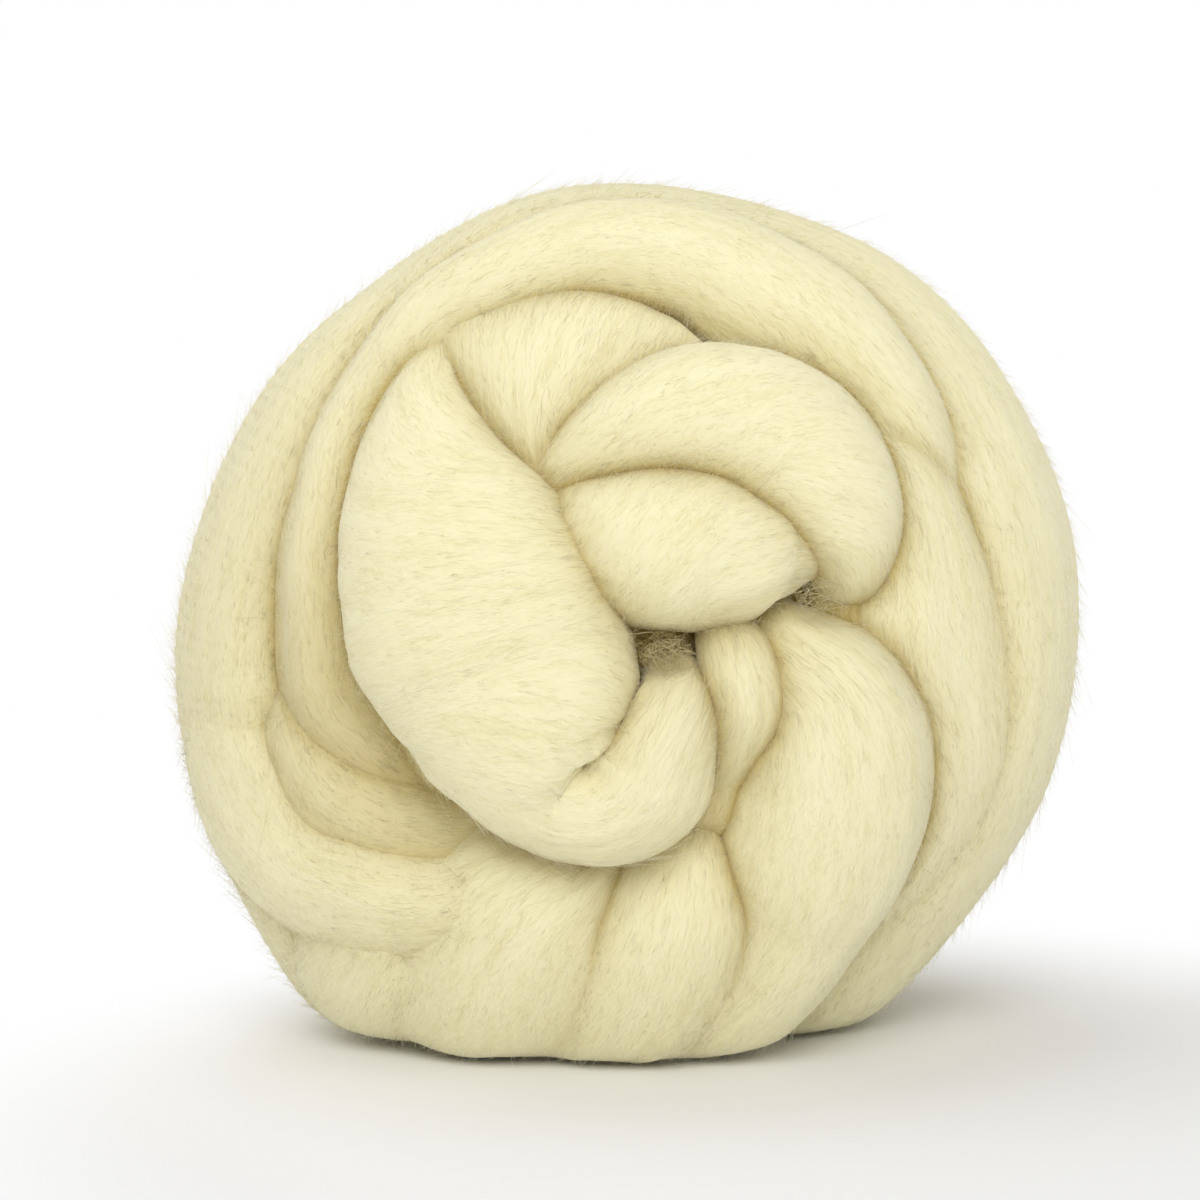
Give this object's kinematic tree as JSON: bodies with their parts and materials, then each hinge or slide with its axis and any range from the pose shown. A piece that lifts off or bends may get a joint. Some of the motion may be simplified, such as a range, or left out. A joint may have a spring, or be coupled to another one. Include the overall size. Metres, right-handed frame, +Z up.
{
  "type": "ball of wool roving",
  "caption": "Thick, untwisted rope of combed cream wool wound and folded into a round ball that stands on its edge on a small flat spot, for spinning, felting and thick knitting.",
  "frame": {"origin": "middle of the flat spot that the ball rests on", "axes": "+Z up, -Y towards the front face with the folds, +X to the right seen from the front; the ball is widest along X and thinnest along Y"},
  "size_m": [0.1586, 0.1165, 0.148],
  "materials": {
    "wool": "matt, softly hairy combed wool in natural cream, with fine streaks along the rope"
  },
  "bodies": {
    "root": {"roving_ball": "wool"}
  },
  "joints": []
}
